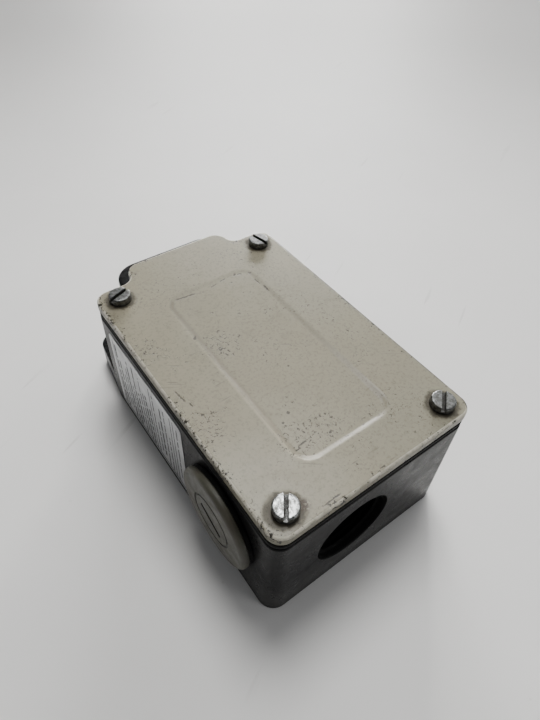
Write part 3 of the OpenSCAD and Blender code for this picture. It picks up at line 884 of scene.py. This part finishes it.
class Graph:
    """Short names for a material's nodes. Coordinates are metres at rest, masks go from 0 to 1."""

    SOCKETS = {
        "colour": "Base Color", "rough": "Roughness", "metal": "Metallic", "normal": "Normal",
        "coat": "Coat Weight", "coat_rough": "Coat Roughness", "specular": "Specular IOR Level",
        "ior": "IOR",
    }

    def __init__(self, name):
        self.material = bpy.data.materials.new(name)
        self.material.use_nodes = True
        self.tree = self.material.node_tree
        self.shader = self.tree.nodes["Principled BSDF"]
        self.coords = self.tree.nodes.new("ShaderNodeTexCoord").outputs["Object"]

    def feed(self, socket, value):
        if isinstance(value, bpy.types.NodeSocket):
            self.tree.links.new(value, socket)
        elif isinstance(value, tuple) and len(value) == 3 and socket.type == "RGBA":
            socket.default_value = (*value, 1)
        else:
            socket.default_value = value

    def node(self, kind, inputs=(), **settings):
        """A new node with its settings made and its inputs fed, by name or by number."""
        node = self.tree.nodes.new("ShaderNode" + kind)
        for key, value in settings.items():
            setattr(node, key, value)
        for key, value in dict(inputs).items():
            self.feed(node.inputs[key], value)
        return node

    def done(self, rough, height, depth_mm, **values):
        """Feeds the shader with the layers' colour, the roughness, a bump and any other values."""
        bump = {"Strength": 1.0, "Distance": depth_mm * MM, "Height": height}
        normal = self.node("Bump", bump).outputs["Normal"]
        values.update(colour=self.colour, rough=rough, normal=normal)
        for key, value in values.items():
            self.feed(self.shader.inputs[self.SOCKETS[key]], value)
        return self.material

    # Coordinates

    def scaled(self, scale, offset=(0, 0, 0), vector=None):
        inputs = {"Vector": vector or self.coords, "Scale": scale, "Location": offset}
        return self.node("Mapping", inputs).outputs["Vector"]

    def turned(self, angle, scale):
        """Coordinates turned about Z and then scaled."""
        inputs = {"Vector": self.coords, "Angle": radians(angle)}
        turn = self.node("VectorRotate", inputs, rotation_type="Z_AXIS")
        return self.scaled(scale, vector=turn.outputs["Vector"])

    def part(self, vector, axis):
        return self.node("SeparateXYZ", {0: vector}).outputs[axis]

    def along(self, axis):
        """One coordinate, in metres."""
        return self.part(self.coords, axis)

    def facing_up(self):
        return self.part(self.node("NewGeometry").outputs["Normal"], "Z")

    def compare(self, operation, a, b):
        return self.node("VectorMath", {0: a, 1: b}, operation=operation).outputs["Value"]

    # Arithmetic

    def sum(self, a, b, operation="ADD"):
        return self.node("Math", {0: a, 1: b}, operation=operation).outputs[0]

    def times(self, a, b):
        return self.sum(a, b, "MULTIPLY")

    def most(self, a, b):
        return self.sum(a, b, "MAXIMUM")

    def ramp(self, value, low, high, to_low=0.0, to_high=1.0):
        """Smooth step from to_low to to_high as the value goes from low to high."""
        inputs = {
            "Value": value, "From Min": low, "From Max": high, "To Min": to_low, "To Max": to_high
        }
        node = self.node("MapRange", inputs, clamp=True, interpolation_type="SMOOTHSTEP")
        return node.outputs["Result"]

    def fall(self, value, low, high):
        """Smooth step from 1 down to 0 as the value goes from low to high."""
        return self.ramp(value, low, high, 1.0, 0.0)

    # Layers of colour

    def base(self, mask, a, b):
        """Makes the colour a mix of two: b where the mask is 1."""
        node = self.node("Mix", {"Factor": mask}, data_type="RGBA")
        for socket, value in zip([s for s in node.inputs if s.type == "RGBA"], (a, b)):
            self.feed(socket, value)
        self.colour = [s for s in node.outputs if s.type == "RGBA"][0]

    def lay(self, mask, over):
        """Lays one more colour over the ones so far, where the mask is 1."""
        self.base(mask, self.colour, over)

    # Patterns

    def noise(self, size_mm, detail=3.0, rough=0.5, vector=None, distortion=0.0):
        inputs = {
            "Vector": vector or self.coords, "Scale": 1 / (size_mm * MM), "Detail": detail,
            "Roughness": rough, "Distortion": distortion,
        }
        return self.node("TexNoise", inputs).outputs["Fac"]

    def patches(self, size_mm, detail, rough, *steps):
        """Mask of soft patches of about one size; steps are what ramp takes after its value."""
        return self.ramp(self.noise(size_mm, detail, rough), *steps)

    def cells(self, size_mm):
        inputs = {"Vector": self.coords, "Scale": 1 / (size_mm * MM)}
        return self.node("TexVoronoi", inputs).outputs["Distance"]

    def attribute(self, name):
        return self.node("Attribute", attribute_name=name).outputs["Fac"]

    def nearest(self, places):
        """Distance in millimetres to the nearest of some places, seen from above."""
        flat = self.scaled((1, 1, 0))
        best = None
        for x, y in places:
            away = self.times(self.compare("DISTANCE", flat, (x * MM, y * MM, 0)), 1 / MM)
            best = away if best is None else self.sum(best, away, "MINIMUM")
        return best

    def inside_entry(self):
        """1 on the wall of the open cable entry, 0 elsewhere."""
        middle = (ENTRY_X * MM, 0, ENTRY_Z * MM)
        away = self.compare("DISTANCE", self.scaled((1, 0, 1)), middle)
        near_end = self.fall(self.along("Y"), (END_Y + 12) * MM, (END_Y + 13) * MM)
        return self.times(near_end, self.fall(away, 10.2 * MM, 10.4 * MM))

    def stroke(self, x, y, angle, length, width):
        """1 along one short scratch on the top, 0 elsewhere."""
        inputs = {
            "Vector": self.coords, "Location": (x * MM, y * MM, 0),
            "Rotation": (0, 0, radians(angle)), "Scale": (length / 2 * MM, width / 2 * MM, 1),
        }
        local = self.node("Mapping", inputs, vector_type="TEXTURE").outputs["Vector"]
        ragged = self.patches(0.7, 3, 0.6, 0.3, 0.7, -0.6, 0.6)
        across = self.sum(self.sum(self.part(local, "Y"), 0, "ABSOLUTE"), ragged)
        along = self.sum(self.part(local, "X"), 0, "ABSOLUTE")
        return self.times(self.fall(across, 0.5, 1.1), self.fall(along, 0.6, 1.0))

    def edges(self, radius_mm, low=0.02, high=0.25):
        """Mask of convex and concave edges, from the bevel normal."""
        bevel = self.node("Bevel", {"Radius": radius_mm * MM}, samples=6).outputs["Normal"]
        flat = self.node("NewGeometry").outputs["Normal"]
        same = self.compare("DOT_PRODUCT", bevel, flat)
        return self.ramp(self.sum(1.0, same, "SUBTRACT"), low, high)

    def crevices(self, distance_mm, low=0.45, high=0.95):
        """1 in tight corners, 0 in the open, from ambient occlusion; the materials paint shade with
        it.
        """
        node = self.node("AmbientOcclusion", {"Distance": distance_mm * MM}, samples=6)
        return self.fall(node.outputs["AO"], low, high)


def cream_paint():
    g = Graph("cream_paint_aged")
    olive, pale = (0.115, 0.098, 0.066), (0.36, 0.335, 0.25)
    soot_and_shadow, bare = (0.045, 0.038, 0.026), (0.024, 0.020, 0.015)

    # Faded paint with grime and a fine grain
    g.base(g.patches(16, 3, 0.55, 0.3, 0.7), (0.245, 0.226, 0.163), (0.227, 0.207, 0.147))
    g.lay(g.patches(38, 2, 0.5, 0.4, 0.65, 0.0, 0.5), (0.228, 0.219, 0.163))
    g.lay(g.patches(7, 6, 0.7, 0.52, 0.72, 0.0, 0.22), (0.125, 0.102, 0.064))
    g.lay(g.patches(0.7, 4, 0.7, 0.48, 0.66, 0.0, 0.36), (0.105, 0.085, 0.052))

    # Round spots, and irregular specks that gather in a few places
    few = g.patches(9, 2, 0.5, 0.46, 0.58)
    spots = g.times(g.fall(g.cells(3.6), 0.050, 0.085), few)
    some = g.ramp(g.noise(13, 2, 0.5, g.scaled((1, 1, 1), (0.03, 0.01, 0))), 0.50, 0.60)
    gathered = g.ramp(g.nearest([(x, y_from_end(y)) for x, y in DIRTY_PLACES]), 1.5, 8.5, 1.0, 0.0)
    gathered = g.ramp(g.sum(gathered, g.noise(1.2, 2, 0.5)), 0.95, 1.2)
    blots = g.noise(0.75, 3, 0.6, distortion=0.8)
    specks = g.most(g.times(spots, 0.8), g.times(g.ramp(blots, 0.62, 0.67, 0.0, 0.85), some))
    specks = g.most(specks, g.times(g.ramp(blots, 0.56, 0.63, 0.0, 0.9), gathered))

    # Hairlines in two directions, and the single deep scratches
    streaks = g.noise(1.0, 2, 0.5, g.scaled((0.09, 0.9, 1)))
    scratch = g.times(g.ramp(streaks, 0.69, 0.74), g.patches(11, 2, 0.5, 0.54, 0.62))
    cross = g.noise(0.9, 2, 0.5, g.turned(35, (0.07, 1.1, 1)))
    scratch = g.most(scratch, g.times(g.ramp(cross, 0.70, 0.74), g.patches(12, 2, 0.5, 0.50, 0.60)))
    deep = 0.0
    for x, length, *shape in DEEP_SCRATCHES:
        deep = g.most(g.stroke(x, y_from_end(length), *shape), deep)

    # Dirt and painted shadow round the screws, with a crescent of dirt and painted shadow and a
    # rust patch beside the near left one
    rag = g.noise(1.4, 5, 0.7)
    ring = g.nearest([(x, y) for x, y, _ in SCREWS])
    stain = g.fall(g.sum(ring, g.times(rag, 3.2)), 4.9, 6.2)
    crescent = g.sum(g.nearest([(-22.9, y_from_end(5.6))]), g.times(rag, 1.6))
    stain = g.most(stain, g.ramp(crescent, 3.8, 4.7, 0.9, 0.0))
    rust = g.sum(g.nearest([(-18.4, y_from_end(4.3))]), g.times(rag, 1.6))
    rust = g.times(g.ramp(rust, 1.5, 2.9, 0.95, 0.0), g.patches(0.6, 3, 0.6, 0.36, 0.50))

    # The panel's sides and the rim, from the maps in the mesh, with painted shade and painted
    # highlights in them
    slope, crown = g.attribute("slope"), g.attribute("crown")
    # Painted shade with grime along the panel's sides
    g.lay(g.times(g.most(slope, 0.0), 0.36), olive)
    # Painted highlight along the outer edge of the panel's left side, towards the near end
    g.lay(g.ramp(slope, -0.8, 0.0, 0.4, 0.0), pale)
    # Wear with a painted highlight along the round of the rim
    wear_and_highlight = g.times(g.most(crown, 0.0), g.patches(2.5, 4, 0.6, 0.30, 0.55, 0.25, 0.9))
    g.lay(wear_and_highlight, (0.60, 0.57, 0.48))
    dirty_rim = g.times(g.fall(crown, -0.7, -0.1), g.patches(2.2, 4, 0.6, 0.36, 0.52))
    g.lay(dirty_rim, soot_and_shadow)
    # Dirt with painted shadow round the screws
    g.lay(g.times(stain, 0.88), soot_and_shadow)
    g.lay(rust, (0.050, 0.034, 0.022))

    fine = g.sum(g.noise(0.8, 4, 0.7), g.patches(7, 2, 0.5, 0.3, 0.7, -0.07, 0.07))
    chips = g.ramp(g.sum(g.times(g.attribute("wear"), 0.215), fine), 0.765, 0.80)
    g.lay(g.times(scratch, 0.5), (0.10, 0.085, 0.062))
    g.lay(specks, (0.030, 0.025, 0.018))
    g.lay(g.most(chips, g.times(deep, 0.8)), bare)
    rough = g.sum(g.patches(5, 4, 0.6, 0.3, 0.7, 0.34, 0.46), g.times(stain, 0.35))
    hollows = g.times(g.sum(g.most(g.most(chips, deep), specks), g.times(scratch, 0.5)), -1.6)
    height = g.sum(g.times(g.noise(0.55, 3, 0.6), 0.5), hollows)
    height = g.sum(height, g.times(g.noise(6, 2, 0.5), 0.9))
    return g.done(rough, height, 0.018, specular=0.25, coat=0.07, coat_rough=0.15)


def black_enamel():
    g = Graph("black_enamel")
    g.base(g.patches(14, 4, 0.6, 0.35, 0.7), (0.0095, 0.0095, 0.0098), (0.0150, 0.0146, 0.0144))
    dust = g.patches(3.2, 6, 0.72, 0.58, 0.80, 0.0, 0.16)
    g.lay(dust, (0.026, 0.024, 0.021))
    g.lay(g.ramp(g.facing_up(), 0.6, 0.95, 0.0, 0.12), (0.030, 0.031, 0.032))
    # Painted light: the lower near end of the box is lightened, standing in for light from the
    # floor
    near_end = g.fall(g.along("Y"), (END_Y + 4) * MM, (END_Y + 22) * MM)
    painted_floor_light = g.times(g.ramp(g.along("Z"), 0, 16 * MM, 0.7, 0.0), near_end)
    g.lay(painted_floor_light, (0.070, 0.069, 0.066))
    edge = g.edges(0.5)
    rub = g.ramp(g.sum(g.times(edge, 0.26), g.noise(1.5, 5, 0.65)), 0.83, 0.88)
    g.lay(rub, (0.10, 0.09, 0.075))
    hair = g.noise(0.8, 2, 0.5, g.scaled((0.25, 0.07, 1.0)))
    lines = g.times(g.ramp(hair, 0.72, 0.75), g.patches(12, 2, 0.5, 0.58, 0.66))
    g.lay(g.times(lines, 0.5), (0.05, 0.048, 0.045))
    rough = g.sum(g.patches(4, 5, 0.65, 0.3, 0.75, 0.24, 0.38), g.times(rub, 0.25))
    # Painted shade: darker in corners from ambient occlusion and on the wall of the open cable
    # entry
    deep = g.most(g.crevices(9, 0.25, 0.75), g.times(g.inside_entry(), 0.95))
    g.lay(deep, (0.0012, 0.0012, 0.0012))
    rough = g.sum(rough, g.times(deep, 0.45))
    peel = g.noise(1.1, 3, 0.5)
    wave = g.noise(7, 2, 0.5)
    height = g.sum(g.sum(g.times(peel, 0.35), g.times(wave, 1.2)), g.times(rub, -0.8))
    return g.done(rough, height, 0.012, ior=1.16)


def zinc_plate(name, bright, dull):
    """Zinc plate with blotches, pits, and grime with painted shade in its corners."""
    g = Graph(name)
    blotch = g.noise(0.9, 5, 0.7)
    g.base(g.ramp(blotch, 0.38, 0.62), bright, dull)
    # Darker in corners from ambient occlusion: grime together with painted shade
    grime_and_shade = g.crevices(1.1, 0.5, 0.98)
    g.lay(g.times(grime_and_shade, 0.95), (0.016, 0.014, 0.012))
    pits = g.fall(g.cells(0.5), 0.08, 0.20)
    few = g.patches(1.0, 2, 0.5, 0.45, 0.58)
    g.lay(g.times(g.times(pits, few), 0.75), (0.05, 0.045, 0.04))
    rough = g.sum(g.ramp(blotch, 0.3, 0.75, 0.26, 0.50), g.times(grime_and_shade, 0.3))
    height = g.sum(g.noise(0.35, 3, 0.6), g.times(pits, -0.5))
    metal = g.sum(1.0, g.times(grime_and_shade, 0.85), "SUBTRACT")
    return g.done(rough, height, 0.020, metal=metal, specular=0.15)


def plug_plastic():
    g = Graph("plug_moulding_grey")
    g.base(g.patches(7, 4, 0.6, 0.35, 0.68), (0.066, 0.064, 0.045), (0.048, 0.046, 0.033))
    warm = g.noise(10, 2, 0.5, g.scaled((1, 1, 1), (0.013, 0.002, 0.02)))
    g.lay(g.ramp(warm, 0.5, 0.68, 0.0, 0.4), (0.058, 0.042, 0.034))
    grain = g.noise(0.5, 4, 0.65)
    # Darker in corners from ambient occlusion: grime together with painted shade
    grime_and_shade = g.crevices(0.7, 0.5, 0.97)
    g.lay(g.times(grime_and_shade, 0.8), (0.010, 0.009, 0.007))
    g.lay(g.ramp(grain, 0.55, 0.8, 0.0, 0.4), (0.075, 0.070, 0.055))
    rough = g.patches(3, 4, 0.6, 0.3, 0.7, 0.40, 0.58)
    return g.done(rough, grain, 0.02, specular=0.45)


def rubber():
    g = Graph("black_rubber")
    grain = g.noise(0.45, 4, 0.6)
    g.base(g.patches(3, 4, 0.6, 0.4, 0.75), (0.003, 0.003, 0.003), (0.009, 0.009, 0.008))
    rough = g.ramp(grain, 0.3, 0.7, 0.55, 0.75)
    return g.done(rough, grain, 0.02, specular=0.12)


def label_foil():
    g = Graph("label_foil_silver")
    brushed = g.noise(0.6, 3, 0.6, g.scaled((1, 0.06, 1)))
    g.base(g.patches(6, 4, 0.6, 0.35, 0.7), (0.52, 0.527, 0.532), (0.42, 0.424, 0.426))
    scuff = g.times(g.patches(2.2, 5, 0.7, 0.60, 0.70), 0.55)
    g.lay(scuff, (0.15, 0.147, 0.14))
    rough = g.ramp(brushed, 0.3, 0.7, 0.30, 0.46)
    return g.done(rough, brushed, 0.006, metal=0.55)


def label_ink():
    g = Graph("label_ink")
    fade = g.noise(1.4, 5, 0.7)
    g.base(g.ramp(fade, 0.42, 0.66), (0.008, 0.008, 0.009), (0.07, 0.07, 0.072))
    return g.done(0.5, fade, 0.004)


def turned_metal(name, bright, dull, low_rough, high_rough):
    """Turned or drawn metal: fine rings across Y, light stains, and grime with painted shade in the
    corners.
    """
    g = Graph(name)
    rings = g.noise(0.35, 3, 0.6, g.scaled((0.05, 1, 0.05)))
    stain = g.noise(2.5, 4, 0.6)
    g.base(g.ramp(stain, 0.4, 0.7), bright, dull)
    # Darker in corners from ambient occlusion: grime together with painted shade
    grime_and_shade = g.crevices(0.6)
    g.lay(g.times(grime_and_shade, 0.7), (0.04, 0.035, 0.03))
    rough = g.sum(g.ramp(stain, 0.3, 0.7, low_rough, high_rough), g.times(grime_and_shade, 0.2))
    return g.done(rough, rings, 0.006, metal=1.0)


def moulded(name, light, dark, rough_low, rough_high):
    """Moulded plastic with a fine grain and slightly polished edges."""
    g = Graph(name)
    cloud = g.noise(4, 4, 0.6)
    grain = g.noise(0.3, 3, 0.6)
    g.base(g.ramp(cloud, 0.35, 0.7), light, dark)
    polished = tuple(min(1, c * 2.2 + 0.03) for c in light)
    g.lay(g.times(g.edges(0.25, 0.05, 0.4), 0.25), polished)
    rough = g.ramp(cloud, 0.3, 0.7, rough_low, rough_high)
    return g.done(rough, grain, 0.012)


def floor_paper():
    g = Graph("floor_matt")
    smudge = g.patches(22, 6, 0.7, 0.60, 0.75, 0.0, 0.10)
    g.base(g.patches(70, 4, 0.55, 0.3, 0.7), (0.80, 0.795, 0.785), (0.765, 0.76, 0.75))
    g.lay(smudge, (0.60, 0.595, 0.585))
    hair = g.noise(5, 2, 0.5, g.turned(-28, (0.10, 1.2, 1)))
    hair = g.times(g.ramp(hair, 0.66, 0.70), g.patches(60, 2, 0.5, 0.52, 0.62))
    dots = g.times(g.fall(g.cells(9), 0.030, 0.060), g.patches(50, 2, 0.5, 0.50, 0.60))
    g.lay(g.times(g.most(hair, dots), 0.30), (0.42, 0.41, 0.39))
    # Painted falloff of light: the floor darkens away from the switch, like the edge of a pool of
    # light
    away = g.nearest([(0, 0)])
    g.lay(g.ramp(away, 50, 400, 0.0, 1.0), (0.40, 0.396, 0.386))
    return g.done(0.62, g.noise(1.2, 4, 0.6), 0.01, specular=0.3)


def paint(piece, material):
    piece.data.materials.clear()
    piece.data.materials.append(material)


def paint_node(node, material):
    materials = nodes[node].data.materials
    for i in range(len(materials)):
        materials[i] = material


def make_floor(reach=1.5):
    corners = [(-reach, -reach, 0), (reach, -reach, 0), (reach, reach, 0), (-reach, reach, 0)]
    mesh = bpy.data.meshes.new("floor")
    mesh.from_pydata(corners, [], [(0, 1, 2, 3)])
    floor = new_object("floor", mesh)
    paint(floor, floor_paper())


# --- Build

make_camera()
make_lights()

enamel = black_enamel()
zinc = zinc_plate("zinc_bright", (0.30, 0.31, 0.31), (0.08, 0.08, 0.075))
shaded_zinc = zinc_plate("zinc_dull", (0.19, 0.195, 0.195), (0.075, 0.075, 0.070))
black_rubber = rubber()
grey_plastic = plug_plastic()
steel = turned_metal("ground_steel", (0.62, 0.63, 0.64), (0.48, 0.48, 0.48), 0.16, 0.30)
spring_wire = turned_metal("spring_wire", (0.45, 0.45, 0.45), (0.33, 0.33, 0.33), 0.25, 0.40)
brass = turned_metal("brass", (0.66, 0.47, 0.20), (0.47, 0.32, 0.13), 0.22, 0.38)
contact_brass = turned_metal("contact_brass", (0.70, 0.52, 0.26), (0.55, 0.38, 0.18), 0.25, 0.42)
block_black = moulded("block_moulding", (0.022, 0.022, 0.024), (0.014, 0.014, 0.015), 0.42, 0.58)
lid_grey = moulded("lid_moulding", (0.25, 0.255, 0.24), (0.20, 0.20, 0.19), 0.38, 0.52)
carrier_red = moulded("carrier_moulding", (0.36, 0.035, 0.025), (0.25, 0.024, 0.018), 0.30, 0.42)

paint(make_housing(), enamel)
paint(make_cover(), cream_paint())
paint(make_gasket(), black_rubber)
# The near left screw gets the brighter zinc as a painted highlight, the other three a darker copy
# as painted shade
for i, screw in enumerate(make_screws()):
    paint(screw, zinc if i == 0 else shaded_zinc)
for side in (-1, 1):
    paint(make_plug(side), grey_plastic)
    paint(make_plug_seal(side), black_rubber)
foil, marks = make_label()
paint(foil, label_foil())
paint(marks, label_ink())
paint(make_thread(), enamel)
paint(make_plunger(), steel)
paint(make_bush(), brass)
# Each spring's name, node, body and joint, then its travel, its wire's radius, its turns and the
# distance of its fixed end from the cable end
for row in (
    ("plunger_coil", "plunger_spring", "enclosure", "plunger_slide", 5, 0.4, 3, 79),
    ("carrier_coil", "carrier_spring", "enclosure", "carrier_slide", 5, 0.3, 5, 43.5),
    ("break_coil", "break_contact_spring", "contact_carrier", "break_bridge_float", 1, 0.25, 4,
     62.5),
    ("make_coil", "make_contact_spring", "contact_carrier", "make_bridge_float", 1, 0.25, 4, 59),
):
    paint(make_spring(*row), spring_wire)

# Each softened node's body, slot, width of its broken edges, and material
stamped = "enclosure", "brass", 0.1, contact_brass
plated = "enclosure", "zinc_steel", 0.1, zinc
for node, body, slot, edge_w, material in (
    ("contact_block_base", "enclosure", "block_plastic", 0.3, block_black),
    ("contact_block_lid", "enclosure", "lid_plastic", 0.2, lid_grey),
    ("contact_carrier", "contact_carrier", "carrier_plastic", 0.25, carrier_red),
    ("break_bridge", "break_bridge", "brass", 0.1, contact_brass),
    ("make_bridge", "make_bridge", "brass", 0.1, contact_brass),
    ("break_terminal_left", *stamped),
    ("break_terminal_right", *stamped),
    ("make_terminal_left", *stamped),
    ("make_terminal_right", *stamped),
    ("terminal_clamps", *plated),
    ("terminal_screws", *plated),
    ("contact_block_screws", *plated),
    ("earth_clamp", *stamped),
    ("earth_screw", *plated),
):
    paint(softened(node, body, edge_w), material)

paint_node("plunger_seal", black_rubber)

make_floor()
